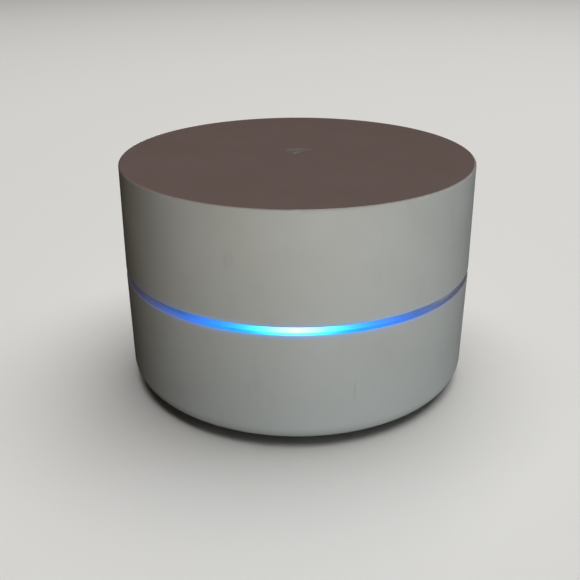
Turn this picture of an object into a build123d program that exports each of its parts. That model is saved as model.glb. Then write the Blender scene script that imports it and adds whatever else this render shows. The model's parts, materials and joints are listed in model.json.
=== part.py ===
"""Mesh wifi node: a round white housing in two halves with a recessed light band between them.

Millimetres, +Z up. The origin is on the housing's axis, on the surface that the node stands on.
The front, where the light band is brightest, faces -Y. The cable bay and its ports open towards
+Y and downwards, and the reset button is on the +Y side.
"""

from build123d import *

import os
from math import cos, radians, sin, sqrt

# ---------------------------------------------------------------- driving dimensions
# Housing
BODY_DIAMETER = 106.12
BODY_HEIGHT = 68.75
WALL = 2.2
DRAFT = 0.3  # radius lost from the light band to the top, and to the base
TOP_EDGE_RADIUS = 0.6
BASE_EDGE_RADIUS = 5.25
FLOOR_CORNER_RADIUS = 2.5
FOOT_HEIGHT = 1.5  # from the surface up to the housing's underside
GAP = 0.1  # assembly gap between neighbouring mouldings
CUT = 1.0  # how far a cutting tool runs past the face that it opens

# Light band
BAND_CENTRE_Z = 36.05
BAND_HEIGHT = 2.2
BAND_RECESS = 1.7
LIP_RADIUS = 0.35  # rounding of the two edges beside the band
GUIDE_INNER_RADIUS = 48.6
GUIDE_FLANGE = 2.35  # height of the guide's flange inside each shell

# Signal emblem in the top: a dot and three arcs, each a shallow recess
EMBLEM_DEPTH = 0.12
EMBLEM_RADIUS = 7.35
EMBLEM_STROKE = 1.05
EMBLEM_ARCS = 3
EMBLEM_SPREAD = (50, 130)  # angles that the arcs run between

# Base cover and foot
COVER_THICKNESS = 3.0
COVER_RADIUS = 46.15
COVER_EDGE_RADIUS = 0.4
FLANGE_THICKNESS = 1.8
FLANGE_INNER_RADIUS = 37.5
FOOT_INNER_RADIUS = 39.5
FOOT_OUTER_RADIUS = 45.0
FOOT_BEDDING = 0.5  # depth of the foot's groove in the base cover
FOOT_EDGE_RADIUS = 0.5

# Cable bay
PORT_FACE_Y = 4.5
BAY_HALF_WIDTH = 28.0
BAY_TAPER_Y = 24.0  # the bay narrows from here to its mouth
BAY_END_Y = 44.5
BAY_END_HALF_WIDTH = 17.0
BAY_CORNER_RADIUS = 3.0
BAY_CEILING_Z = 19.9
BAY_WALL = 1.5
MOUTH_HALF_WIDTH = 16.0
MOUTH_TOP_Z = 10.0
MOUTH_CORNER_RADIUS = 4.5

# Main board and heat sink
BOARD_RADIUS = 46.0
BOARD_Z = 21.6
BOARD_THICKNESS = 1.6
SINK_RADIUS = 44.0
SINK_Z = 26.0
SINK_PLATE = 3.0
SINK_SCALLOP_RADIUS = 5.0  # one at each antenna lead
SINK_TAP_COVER = 0.8  # metal left over a blind tapped hole
FIN_TOP_Z = 50.0
FIN_PITCH = 6.0
FIN_THICKNESS = 1.6
FIN_FIELD_RADIUS = 33.0
PEDESTAL_HALF = 8.0
PEDESTAL_CLEARANCE = 2.0  # from the board up to the pedestal

# Chips: width, length, height. Each sits on the board's top.
PROCESSOR_SPOT = (0, -8)
PROCESSOR = (14, 14, 1.2)
MEMORY_SPOT = (16, -8)
MEMORY = (9, 13, 1.0)
STORAGE_SPOT = (-16, -8)
STORAGE = (11.5, 13, 1.0)
RADIO_CHIP = (7, 7, 0.9)
PROCESSOR_FENCE = ((-24, 24), (-18, 2))
FENCE_RIM = 1.2
RADIO_CAN = ((14, 31), (6, 24))
CAN_SHEET = 0.3
CAN_HEIGHT = 1.8
PASSIVE = (1.6, 0.8, 0.6)
PASSIVE_PITCH = 3

# Parts under the board: width, length, height, or radius and height
TRANSFORMER = (13, 9.5, 5.2)
TRANSFORMER_GAP = 3.25  # from the jack's back to the transformer
INDUCTOR = (8, 8, 4.2)
INDUCTOR_Y = -33
INDUCTOR_PITCH = 11
CAPACITOR_RADIUS = 3.15
CAPACITOR_HEIGHT = 7.7
CAPACITOR_Y = -23
CAPACITOR_PITCH = 6.8

# Light board
LIGHT_BOARD_Z = 34.0
LIGHT_BOARD_THICKNESS = 1.0
LIGHT_BOARD_RADII = (39.6, 48.2)
LIGHT_BOARD_HALF_SPAN = 24
LAMP_RADII = (46.6, 48.3)
LAMP_HALF_WIDTH = 1.5
LAMP_HEIGHT = 1.6
LAMP_SPACING = 6  # degrees
FLEX_SLOT_Y = -38.6
FLEX_START_Y = -42.5
FLEX_SOCKET_Y = (-36, -33)
FLEX_THICKNESS = 0.2
FLEX_HALF_WIDTH = 3.0
FLEX_BEND_RADIUS = 1.2
FLEX_ENTRY_HEIGHT = 0.8  # above the board
SOCKET_HALF_WIDTH = 4.0
SOCKET_HEIGHT = 1.5

# Network jacks
JACK_X = 17.0
JACK_WIDTH = 16.0
JACK_HEIGHT = 12.5
JACK_DEPTH = 17.0
JACK_SHEET = 0.25
PLUG_WIDTH = 11.7
PLUG_HEIGHT = 6.8
PLUG_REACH = 13.0
PLUG_FLOOR = 3.1  # from the jack's underside up to the plug
LATCH_HALF_WIDTH = 3.15
LATCH_HEIGHT = 1.6
LATCH_REACH = 10.0
CONTACT_COUNT = 8
CONTACT_PITCH = 1.02
CONTACT_WIDTH = 0.45
CONTACT_THICKNESS = 0.3
CONTACT_DROP = 1.8  # how far the wires come down from the cavity's roof
CONTACT_START = 1.3  # from the port face
CONTACT_BEND = 10.25  # from the port face
CONTACT_SLOT = (4.1, 0.55)  # half sizes of the slot that the wires rise through

# Power port
USB_WIDTH = 8.94
USB_HEIGHT = 3.16
USB_SHEET = 0.3
USB_DEPTH = 7.5
TONGUE_HALF_WIDTH = 3.35
TONGUE_HALF_THICKNESS = 0.3
TONGUE_SETBACK = 2.2
TONGUE_ROOT = (3.7, 1.4, 0.95)  # half width, length, half thickness
PAD_COUNT = 12
PAD_PITCH = 0.5
PAD_HALF_WIDTH = 0.13
PAD_THICKNESS = 0.06
PAD_SETBACKS = (5.5, 2.5)
RISER_HALF_WIDTH = 4.2

# Reset button and its switch
BUTTON_Z = 25.4
BUTTON_RADIUS = 3.0
BUTTON_GAP = 0.15
BUTTON_SETBACK = 0.15  # cap's face, behind the wall's outside at the cap's edge
BUTTON_EDGE_RADIUS = 0.35
FLANGE_CLEARANCE = 0.7  # from the wall to the cap's flange
FLANGE_RADIUS = 4.0
FLANGE_DEPTH = 1.2
STEM_RADIUS = 1.3
SWITCH_HALF_WIDTH = 3.0
SWITCH_Y = (42.0, 45.6)
SWITCH_HEIGHT = 3.8
POCKET_BACK_Y = 43.4
POCKET_HALF = (1.5, 1.3)
PLUNGER_Y = (44.4, 47.2)
PLUNGER_HALF = (1.4, 1.2)
DOME_HALF = 1.2
DOME_THICKNESS = 0.1
COVER_SHEET = 0.2
COVER_DROP = 1.6

# Fasteners: shank radius, head radius and head height, then where each set sits
M25 = (1.2, 2.2, 1.2)
M2 = (0.9, 1.7, 1.0)
CLEARANCE_RADIUS = 1.5
SMALL_CLEARANCE_RADIUS = 1.1
TAP_GAP = 0.05  # between a screw's shank and its tapped hole
CROSS_WIDTH = 0.5
BASE_SCREW_RADIUS = 41.5
BASE_SCREW_ANGLES = (20, 160, 235, 305)
BASE_SCREW_LENGTH = 24.5
SHELL_BOSS_RADIUS = 40.0
SHELL_BOSS_ANGLES = (65, 115, 195, 345)
SHELL_SCREW_LENGTH = 12.0
BOARD_SCREW_SPOTS = ((20, -29.5), (-20, -29.5), (35, 2), (-35, 2))
BOARD_SCREW_LENGTH = 6.0
LIGHT_SCREW_RADIUS = 42.0
LIGHT_SCREW_ANGLES = (256, 284)
LIGHT_SCREW_LENGTH = 4.5
POST_RADIUS = 3.2
COLLAR_RADIUS = 4.2  # of the upper bosses, above the antenna carrier's lugs
RIB_HALF = 0.6

# Antennas
ANTENNA_ANGLES = (45, 135, 225, 315)
CARRIER_OUTER_RADIUS = 47.0
CARRIER_THICKNESS = 1.5
CARRIER_Z = (42.0, 60.0)
WINDOW_Z = (46, 55)
WINDOW_HALF_SPAN = 20
LUG_RADIUS = 5.0
LUG_THICKNESS = 2.0
ANTENNA_SHEET = 0.25
ANTENNA_Z = (43.0, 58.5)
ANTENNA_HALF_SPAN = 17.0
FEED_Z = 39.5
FEED_HALF_SPAN = 1.5
SLOT_Z = (49.0, 50.5)
SLOT_END_SPAN = (7.5, 9.0)
SLOT_END_Z = 55.0
NOTCH_SPAN = (-7, -4)
NOTCH_TOP_Z = 46.0
COAX_DIAMETER = 1.13
COAX_BEND_RADIUS = 3.5
COAX_HEIGHT = 1.9  # of its end, above the board
SNAP_RADIUS = 40.6  # distance of each antenna plug from the housing's axis
CRIMP_END = 42.2

# ---------------------------------------------------------------- derived levels and radii
BODY_RADIUS = BODY_DIAMETER / 2
END_RADIUS = BODY_RADIUS - DRAFT
RIB_REACH = END_RADIUS - WALL / 2
CEILING_Z = BODY_HEIGHT - WALL
BAND_LOW_Z = BAND_CENTRE_Z - BAND_HEIGHT / 2
BAND_HIGH_Z = BAND_CENTRE_Z + BAND_HEIGHT / 2
COVER_TOP_Z = FOOT_HEIGHT + COVER_THICKNESS
GROOVE_Z = FOOT_HEIGHT + FOOT_BEDDING
FLANGE_TOP_Z = COVER_TOP_Z + FLANGE_THICKNESS
BAY_TOP_Z = BAY_CEILING_Z + BAY_WALL
BOARD_TOP_Z = BOARD_Z + BOARD_THICKNESS
CAN_TOP_Z = BOARD_TOP_Z + CAN_HEIGHT
SINK_TOP_Z = SINK_Z + SINK_PLATE
LAMP_Z = LIGHT_BOARD_Z + LIGHT_BOARD_THICKNESS
JACK_BACK_Y = PORT_FACE_Y - JACK_DEPTH
JACK_LOW_Z = BOARD_Z - JACK_HEIGHT
PLUG_LOW_Z = JACK_LOW_Z + PLUG_FLOOR
PLUG_TOP_Z = PLUG_LOW_Z + PLUG_HEIGHT
PORT_CENTRE_Z = PLUG_LOW_Z + PLUG_HEIGHT / 2
USB_BACK_Y = PORT_FACE_Y - USB_DEPTH
SWITCH_TOP_Z = BOARD_TOP_Z + SWITCH_HEIGHT
CARRIER_INNER_RADIUS = CARRIER_OUTER_RADIUS - CARRIER_THICKNESS


# ---------------------------------------------------------------- shape helpers
def polar(radius, angle):
    """The point at that radius, and that angle in degrees from +X."""
    return (radius * cos(radians(angle)), radius * sin(radians(angle)))


def around(half):
    """The (low, high) pair from -half to half."""
    return (-half, half)


def about(middle, half):
    """The (low, high) pair half each side of a middle."""
    return (middle - half, middle + half)


def disc(radius, low, high, centre=(0, 0)):
    """An upright cylinder between two heights."""
    return Pos(centre[0], centre[1], low) * extrude(Circle(radius), high - low)


def ring(outer, inner, low, high):
    """An upright tube on the axis, between two heights."""
    return Pos(0, 0, low) * extrude(Circle(outer) - Circle(inner), high - low)


def block(x, y, z):
    """A box from its (low, high) pair along each axis."""
    size = [high - low for low, high in (x, y, z)]
    middle = [(low + high) / 2 for low, high in (x, y, z)]
    return Pos(*middle) * Box(*size)


def prism(face, low, high):
    """A flat face carried up from one height to another."""
    return Pos(0, 0, low) * extrude(face, high - low)


def along_y(face, low, high):
    """A face drawn in (x, z) carried from one y to another."""
    return Pos(0, high, 0) * extrude(Plane.XZ * face, high - low)


def sector(outer, inner, z, span):
    """Part of a tube between two heights and two angles."""
    start, end = span
    edges = [
        CenterArc((0, 0), outer, start, end - start),
        Line(polar(outer, end), polar(inner, end)),
        CenterArc((0, 0), inner, start, end - start),
        Line(polar(inner, start), polar(outer, start)),
    ]
    return prism(make_face(edges), *z)


def outline(*corners):
    """A face from corners given as (x, y, corner radius)."""
    points = [corner[:2] for corner in corners]
    rounding = [corner[2] for corner in corners]
    return make_face(FilletPolyline(*points, radius=rounding, close=True))


def turned(*corners):
    """A solid of revolution from corners given as (radius, height, corner radius)."""
    return revolve(Plane.XZ * outline(*corners), Axis.Z)


def spun(shape, angles):
    """Copies of a shape turned about the housing's axis."""
    return [Rot(0, 0, angle) * shape for angle in angles]


def folded_box(x, y, top_z):
    """A can of thin sheet over the board: four sides and a lid, open below."""
    can = block(x, y, (BOARD_TOP_Z, top_z))
    inner_x = (x[0] + CAN_SHEET, x[1] - CAN_SHEET)
    inner_y = (y[0] + CAN_SHEET, y[1] - CAN_SHEET)
    return can - block(inner_x, inner_y, (BOARD_TOP_Z - CUT, top_z - CAN_SHEET))


def chip(spot, size, below=False):
    """A flat package on the board's top, or hanging from its underside."""
    width, length, height = size
    bevel = 0.15
    z = (BOARD_Z - height, BOARD_Z) if below else (BOARD_TOP_Z, BOARD_TOP_Z + height)
    body = block(about(spot[0], width / 2), about(spot[1], length / 2), z)
    return chamfer(body.edges().group_by(Axis.Z)[0 if below else -1], bevel)


def screw(size, length):
    """A pan-head screw: its head stands on z = 0 and its shank runs down. It has a cross recess."""
    shank, head, height = size
    recess_depth = height * 0.6
    recess_reach = head * 0.6
    body = disc(head, 0, height) + disc(shank, -length, 0)
    body = fillet(body.edges().sort_by(Axis.Z)[-1], height * 0.35)
    z = (height - recess_depth, height + CUT)
    body -= block(around(recess_reach), around(CROSS_WIDTH / 2), z)
    return body - block(around(CROSS_WIDTH / 2), around(recess_reach), z)


def screw_up(size, length, spot, seat_z):
    """A screw driven upwards, with its head's bearing face at seat_z."""
    return Pos(spot[0], spot[1], seat_z) * Rot(180, 0, 0) * screw(size, length)


# ---------------------------------------------------------------- housing
def bay_outline(grow=0.0):
    """The cable bay's plan, from the port face to its narrow end."""
    corner = BAY_CORNER_RADIUS
    plan = outline(
        (-BAY_HALF_WIDTH, PORT_FACE_Y, corner),
        (BAY_HALF_WIDTH, PORT_FACE_Y, corner),
        (BAY_HALF_WIDTH, BAY_TAPER_Y, 2 * corner),
        (BAY_END_HALF_WIDTH, BAY_END_Y, corner),
        (-BAY_END_HALF_WIDTH, BAY_END_Y, corner),
        (-BAY_HALF_WIDTH, BAY_TAPER_Y, 2 * corner),
    )
    return offset(plan, grow) if grow else plan


def mouth(grow=0.0, start=BAY_END_Y - 2, end=BODY_RADIUS + CUT):
    """The tool for the cable mouth in the +Y side, open to the surface below."""
    half, top_z = MOUTH_HALF_WIDTH + grow, MOUTH_TOP_Z + grow
    corner = MOUTH_CORNER_RADIUS + grow
    face = outline((-half, -CUT, 0), (half, -CUT, 0), (half, top_z, corner), (-half, top_z, corner))
    return along_y(face, start, end)


def spout(grow, reach):
    """The bay's end piece, which carries the cable mouth out to the shell's wall."""
    outer = mouth(grow, start=BAY_END_Y, end=BODY_RADIUS)
    return outer & disc(reach, COVER_TOP_Z, BAY_TOP_Z)


def emblem_tool():
    """A dot on the axis, with arcs fanning out from it towards the back."""
    pitch = (EMBLEM_RADIUS - EMBLEM_STROKE) / EMBLEM_ARCS
    z = (BODY_HEIGHT - EMBLEM_DEPTH, BODY_HEIGHT + CUT)
    tool = disc(EMBLEM_STROKE, *z)
    for step in range(1, EMBLEM_ARCS + 1):
        tool += sector(pitch * step + EMBLEM_STROKE, pitch * step, z, EMBLEM_SPREAD)
    return tool


def upper_shell():
    """The top half: a cup with four screw bosses that also carry the antenna hoop."""
    shell = turned(
        (0, BODY_HEIGHT, 0),
        (END_RADIUS, BODY_HEIGHT, TOP_EDGE_RADIUS),
        (BODY_RADIUS, BAND_HIGH_Z, LIP_RADIUS),
        (BODY_RADIUS - WALL, BAND_HIGH_Z, 0),
        (END_RADIUS - WALL, CEILING_Z, TOP_EDGE_RADIUS),
        (0, CEILING_Z, 0),
    )
    root_z = CEILING_Z + WALL / 4
    spot = (SHELL_BOSS_RADIUS, 0)
    boss = disc(POST_RADIUS, SINK_TOP_Z, root_z, spot) + disc(COLLAR_RADIUS, CARRIER_Z[1], root_z, spot)
    rib_x = (SHELL_BOSS_RADIUS + POST_RADIUS - RIB_HALF, RIB_REACH)
    boss += block(rib_x, around(RIB_HALF), (CARRIER_Z[1] + LUG_THICKNESS, root_z))
    boss -= disc(M25[0] + TAP_GAP, SINK_TOP_Z - CUT, SINK_TOP_Z + SHELL_SCREW_LENGTH, spot)
    for feature in spun(boss, SHELL_BOSS_ANGLES):
        shell += feature
    return shell - emblem_tool()


def lower_shell():
    """The bottom half: wall, base flange and four posts, open for the cable bay and the button."""
    opening_radius = COVER_RADIUS + 1.5 * GAP
    shell = turned(
        (BODY_RADIUS, BAND_LOW_Z, LIP_RADIUS),
        (END_RADIUS, FOOT_HEIGHT, BASE_EDGE_RADIUS),
        (opening_radius, FOOT_HEIGHT, LIP_RADIUS),
        (opening_radius, COVER_TOP_Z, 0),
        (FLANGE_INNER_RADIUS, COVER_TOP_Z, 0),
        (FLANGE_INNER_RADIUS, FLANGE_TOP_Z, 0),
        (END_RADIUS - WALL, FLANGE_TOP_Z, FLOOR_CORNER_RADIUS),
        (BODY_RADIUS - WALL, BAND_LOW_Z, 0),
    )
    root_z = FLANGE_TOP_Z - FLANGE_THICKNESS / 3
    spot = (BASE_SCREW_RADIUS, 0)
    rib_x = (BASE_SCREW_RADIUS + POST_RADIUS - RIB_HALF, RIB_REACH)
    post = disc(POST_RADIUS, root_z, BOARD_Z, spot)
    post += block(rib_x, around(RIB_HALF), (root_z, BOARD_Z - POST_RADIUS))
    for feature in spun(post, BASE_SCREW_ANGLES):
        shell += feature
    for tool in spun(disc(CLEARANCE_RADIUS, COVER_TOP_Z - CUT, BOARD_Z + CUT, spot), BASE_SCREW_ANGLES):
        shell -= tool
    shell -= prism(bay_outline(BAY_WALL + GAP), COVER_TOP_Z - CUT, BAY_TOP_Z)
    shell -= spout(BAY_WALL + GAP, BODY_RADIUS - WALL - 4 * GAP)
    shell -= mouth()
    button_hole = Pos(0, BUTTON_Z) * Circle(BUTTON_RADIUS + BUTTON_GAP)
    return shell - along_y(button_hole, BODY_RADIUS - 2 * WALL, BODY_RADIUS + CUT)


def port_bay():
    """The moulded bay for plugs and cables, open below and through the mouth."""
    bay = prism(bay_outline(BAY_WALL), COVER_TOP_Z, BAY_TOP_Z)
    bay += spout(BAY_WALL, BODY_RADIUS - WALL - 5 * GAP)
    bay -= prism(bay_outline(), COVER_TOP_Z - CUT, BAY_CEILING_Z)
    bay -= mouth()
    front_y = (PORT_FACE_Y - BAY_WALL - CUT, PORT_FACE_Y + GAP)
    for side in (-1, 1):
        jack_x = about(side * JACK_X, JACK_WIDTH / 2 + GAP)
        bay -= block(jack_x, front_y, (JACK_LOW_Z - GAP, BAY_TOP_Z + CUT))
    slot = RectangleRounded(USB_WIDTH + 2 * GAP, USB_HEIGHT + 2 * GAP, USB_HEIGHT / 2)
    return bay - along_y(Pos(0, PORT_CENTRE_Z) * slot, *front_y)


def base_cover():
    """The round plate under the housing, with the foot's groove and the screw counterbores."""
    cover = disc(COVER_RADIUS, FOOT_HEIGHT, COVER_TOP_Z)
    cover = fillet(cover.edges().sort_by(Axis.Z)[0], COVER_EDGE_RADIUS)
    cover -= ring(FOOT_OUTER_RADIUS + GAP, FOOT_INNER_RADIUS - GAP, FOOT_HEIGHT - CUT, GROOVE_Z)
    spot = (BASE_SCREW_RADIUS, 0)
    hole = disc(CLEARANCE_RADIUS, FOOT_HEIGHT, COVER_TOP_Z + CUT, spot)
    hole += disc(M25[1] + GAP, FOOT_HEIGHT, GROOVE_Z + M25[2], spot)
    for tool in spun(hole, BASE_SCREW_ANGLES):
        cover -= tool
    cover -= prism(bay_outline(), FOOT_HEIGHT - CUT, COVER_TOP_Z + CUT)
    return cover - mouth()


def foot_ring():
    """The soft ring that the node stands on, broken where the cable bay comes out."""
    foot = turned(
        (FOOT_INNER_RADIUS, 0, FOOT_EDGE_RADIUS),
        (FOOT_OUTER_RADIUS, 0, FOOT_EDGE_RADIUS),
        (FOOT_OUTER_RADIUS, GROOVE_Z, 0),
        (FOOT_INNER_RADIUS, GROOVE_Z, 0),
    )
    foot -= prism(bay_outline(BAY_WALL), -CUT, GROOVE_Z + CUT)
    return foot - mouth(BAY_WALL, start=PORT_FACE_Y)


def light_guide_ring():
    """The clear ring behind the band, with a flange inside each shell."""
    flange = BODY_RADIUS - WALL - 4 * GAP
    face = BODY_RADIUS - BAND_RECESS
    low_z, high_z = BAND_LOW_Z - GUIDE_FLANGE, BAND_HIGH_Z + GUIDE_FLANGE
    return turned(
        (GUIDE_INNER_RADIUS, low_z, LIP_RADIUS),
        (flange, low_z, LIP_RADIUS),
        (flange, BAND_LOW_Z, 0),
        (face, BAND_LOW_Z, 0),
        (face, BAND_HIGH_Z, 0),
        (flange, BAND_HIGH_Z, 0),
        (flange, high_z, LIP_RADIUS),
        (GUIDE_INNER_RADIUS, high_z, LIP_RADIUS),
    )


# ---------------------------------------------------------------- light board
def light_board():
    """A curved board on two pillars, just inside the light guide at the front."""
    inner, outer = LIGHT_BOARD_RADII
    span = about(270, LIGHT_BOARD_HALF_SPAN)
    board = sector(outer, inner, (LIGHT_BOARD_Z, LAMP_Z), span)
    hole = disc(SMALL_CLEARANCE_RADIUS, LIGHT_BOARD_Z - CUT, LAMP_Z + CUT, (LIGHT_SCREW_RADIUS, 0))
    for tool in spun(hole, LIGHT_SCREW_ANGLES):
        board -= tool
    return board


def light_emitters():
    """Three side-view lamps close together at the front, facing the light guide."""
    window_half, window_z, sink = 1.1, (0.4, 1.3), 0.15
    lamp = block(LAMP_RADII, around(LAMP_HALF_WIDTH), (LAMP_Z, LAMP_Z + LAMP_HEIGHT))
    window_x = (LAMP_RADII[1] - sink, LAMP_RADII[1] + CUT)
    lamp -= block(window_x, around(window_half), (LAMP_Z + window_z[0], LAMP_Z + window_z[1]))
    return spun(lamp, (270 - LAMP_SPACING, 270, 270 + LAMP_SPACING))


def light_board_screws():
    """The two screws that hold the light board on its pillars."""
    driven = Pos(LIGHT_SCREW_RADIUS, 0, LAMP_Z) * screw(M2, LIGHT_SCREW_LENGTH)
    return spun(driven, LIGHT_SCREW_ANGLES)


def light_flex_cable():
    """A flat flex from under the light board, down through the heat sink, to its socket."""
    top_z = LIGHT_BOARD_Z - FLEX_THICKNESS / 2
    entry_z = BOARD_TOP_Z + FLEX_ENTRY_HEIGHT
    line = FilletPolyline(
        (FLEX_START_Y, top_z),
        (FLEX_SLOT_Y, top_z),
        (FLEX_SLOT_Y, entry_z),
        (FLEX_SOCKET_Y[0], entry_z),
        radius=FLEX_BEND_RADIUS,
    )
    strip = Plane.YZ * trace(line, FLEX_THICKNESS)
    return Pos(-FLEX_HALF_WIDTH, 0, 0) * extrude(strip, 2 * FLEX_HALF_WIDTH)


def light_flex_socket():
    """The board socket that takes the flex."""
    bevel = 0.25
    socket = block(around(SOCKET_HALF_WIDTH), FLEX_SOCKET_Y, (BOARD_TOP_Z, BOARD_TOP_Z + SOCKET_HEIGHT))
    return chamfer(socket.edges().group_by(Axis.Z)[-1], bevel)


# ---------------------------------------------------------------- main board
def main_board():
    """The round board, with holes for the long screws and its own screws."""
    board = disc(BOARD_RADIUS, BOARD_Z, BOARD_TOP_Z)
    z = (BOARD_Z - CUT, BOARD_TOP_Z + CUT)
    for angle in BASE_SCREW_ANGLES:
        board -= disc(CLEARANCE_RADIUS, *z, polar(BASE_SCREW_RADIUS, angle))
    for spot in BOARD_SCREW_SPOTS:
        board -= disc(SMALL_CLEARANCE_RADIUS, *z, spot)
    return board


def processor_chip():
    return chip(PROCESSOR_SPOT, PROCESSOR)


def memory_chip():
    return chip(MEMORY_SPOT, MEMORY)


def storage_chip():
    return chip(STORAGE_SPOT, STORAGE)


def radio_spots():
    """The middle of each radio's can, left then right."""
    (x0, x1), (y0, y1) = RADIO_CAN
    return [(side * (x0 + x1) / 2, (y0 + y1) / 2) for side in (-1, 1)]


def radio_chips():
    """The radio chip inside each can."""
    return [chip(spot, RADIO_CHIP) for spot in radio_spots()]


def cpu_shield_frame():
    """The open fence around the processor and its memory, with an inward rim."""
    (x0, x1), (y0, y1) = PROCESSOR_FENCE
    window_x = (x0 + FENCE_RIM, x1 - FENCE_RIM)
    window_y = (y0 + FENCE_RIM, y1 - FENCE_RIM)
    fence = folded_box((x0, x1), (y0, y1), CAN_TOP_Z)
    return fence - block(window_x, window_y, (CAN_TOP_Z - CUT, CAN_TOP_Z + CUT))


def radio_shield_right():
    """A closed can over one radio."""
    return folded_box(*RADIO_CAN, CAN_TOP_Z)


def radio_shield_left():
    return mirror(radio_shield_right(), Plane.YZ)


def processor_thermal_pad():
    """The pad between the processor and the heat sink's pedestal."""
    z = (BOARD_TOP_Z + PROCESSOR[2], BOARD_TOP_Z + PEDESTAL_CLEARANCE)
    return block(about(PROCESSOR_SPOT[0], PROCESSOR[0] / 2), about(PROCESSOR_SPOT[1], PROCESSOR[1] / 2), z)


def radio_thermal_pads():
    """A pad between each radio's can and the heat sink's plate."""
    half = 6.0
    return [block(about(x, half), about(y, half), (CAN_TOP_Z, SINK_Z)) for x, y in radio_spots()]


def ethernet_transformers():
    """One isolating transformer behind each network jack."""
    y = JACK_BACK_Y - TRANSFORMER_GAP - TRANSFORMER[1] / 2
    return [chip((side * JACK_X, y), TRANSFORMER, below=True) for side in (-1, 1)]


def power_inductors():
    """Three shielded inductors under the board at the front."""
    return [chip((step * INDUCTOR_PITCH, INDUCTOR_Y), INDUCTOR, below=True) for step in (-1, 0, 1)]


def bulk_capacitors():
    """Three round capacitors hanging from the board."""
    can = disc(CAPACITOR_RADIUS, BOARD_Z - CAPACITOR_HEIGHT, BOARD_Z)
    can = fillet(can.edges().sort_by(Axis.Z)[0], CAPACITOR_RADIUS / 5)
    return [Pos(step * CAPACITOR_PITCH, CAPACITOR_Y, 0) * can for step in (-1, 0, 1)]


def board_passives():
    """Rows of small ceramic parts on the board, before and behind the processor's fence."""
    width, length, height = PASSIVE
    part = block(around(width / 2), around(length / 2), (BOARD_TOP_Z, BOARD_TOP_Z + height))
    rows_y = (-23.5, -21, 7, 10, 13)
    columns_x = [step * PASSIVE_PITCH for step in range(-3, 4)]
    return [Pos(x, y, 0) * part for y in rows_y for x in columns_x]


# ---------------------------------------------------------------- heat sink
def sink_plate():
    """The heat sink's plate, cut for the antenna leads, the flex, the switch and the shell screws."""
    z = (SINK_Z - CUT, SINK_TOP_Z + CUT)
    flex_slot_half = 0.8
    switch_notch_half = SWITCH_HALF_WIDTH + 2
    plate = disc(SINK_RADIUS, SINK_Z, SINK_TOP_Z)
    for angle in ANTENNA_ANGLES:
        plate -= disc(SINK_SCALLOP_RADIUS, *z, polar(SINK_RADIUS - CUT, angle))
    for angle in SHELL_BOSS_ANGLES:
        plate -= disc(CLEARANCE_RADIUS, *z, polar(SHELL_BOSS_RADIUS, angle))
    plate -= block(around(FLEX_HALF_WIDTH + CUT), about(FLEX_SLOT_Y, flex_slot_half), z)
    return plate - block(around(switch_notch_half), (SWITCH_Y[0] - CUT, SINK_RADIUS + CUT), z)


def tapped_boss(radius, shank, spot):
    """A boss from the board up into the plate, and the blind hole for its screw."""
    boss = disc(radius, BOARD_TOP_Z, SINK_Z + CUT, spot)
    hole = disc(shank + TAP_GAP, BOARD_TOP_Z - CUT, SINK_TOP_Z - SINK_TAP_COVER, spot)
    return boss, hole


def sink_fins():
    """Parallel fins across the plate, trimmed to a round field."""
    per_side = int((FIN_FIELD_RADIUS - FIN_THICKNESS) // FIN_PITCH)
    fins = []
    for step in range(-per_side, per_side + 1):
        x = step * FIN_PITCH
        half = sqrt(FIN_FIELD_RADIUS**2 - x**2)
        fins.append(block(about(x, FIN_THICKNESS / 2), around(half), (SINK_TOP_Z - CUT, FIN_TOP_Z)))
    return fins


def heat_sink():
    """A cast plate with fins and light-board pillars above, and bosses and a pedestal below."""
    base_boss, board_boss, pillar_radius, pillar_tap = 3.0, 2.6, 1.9, 0.5
    sink = sink_plate()
    base_spots = [polar(BASE_SCREW_RADIUS, angle) for angle in BASE_SCREW_ANGLES]
    fixings = [tapped_boss(base_boss, M25[0], spot) for spot in base_spots]
    fixings += [tapped_boss(board_boss, M2[0], spot) for spot in BOARD_SCREW_SPOTS]
    for angle in LIGHT_SCREW_ANGLES:
        spot = polar(LIGHT_SCREW_RADIUS, angle)
        pillar = disc(pillar_radius, SINK_TOP_Z - CUT, LIGHT_BOARD_Z, spot)
        fixings.append((pillar, disc(M2[0] + TAP_GAP, SINK_TOP_Z + pillar_tap, LIGHT_BOARD_Z + CUT, spot)))
    for boss, hole in fixings:
        sink = sink + boss - hole
    pedestal_z = (BOARD_TOP_Z + PEDESTAL_CLEARANCE, SINK_Z + CUT)
    x, y = PROCESSOR_SPOT
    sink += block(about(x, PEDESTAL_HALF), about(y, PEDESTAL_HALF), pedestal_z)
    for fin in sink_fins():
        sink += fin
    return sink


# ---------------------------------------------------------------- fasteners
def base_screws():
    """Long screws from under the foot, through the posts and the board, into the heat sink."""
    seat_z = GROOVE_Z + M25[2]
    spots = [polar(BASE_SCREW_RADIUS, angle) for angle in BASE_SCREW_ANGLES]
    return [screw_up(M25, BASE_SCREW_LENGTH, spot, seat_z) for spot in spots]


def board_screws():
    """Short screws from under the board into the heat sink."""
    return [screw_up(M2, BOARD_SCREW_LENGTH, spot, BOARD_Z) for spot in BOARD_SCREW_SPOTS]


def shell_screws():
    """Screws from under the heat sink into the upper shell's bosses."""
    spots = [polar(SHELL_BOSS_RADIUS, angle) for angle in SHELL_BOSS_ANGLES]
    return [screw_up(M25, SHELL_SCREW_LENGTH, spot, SINK_Z) for spot in spots]


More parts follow.
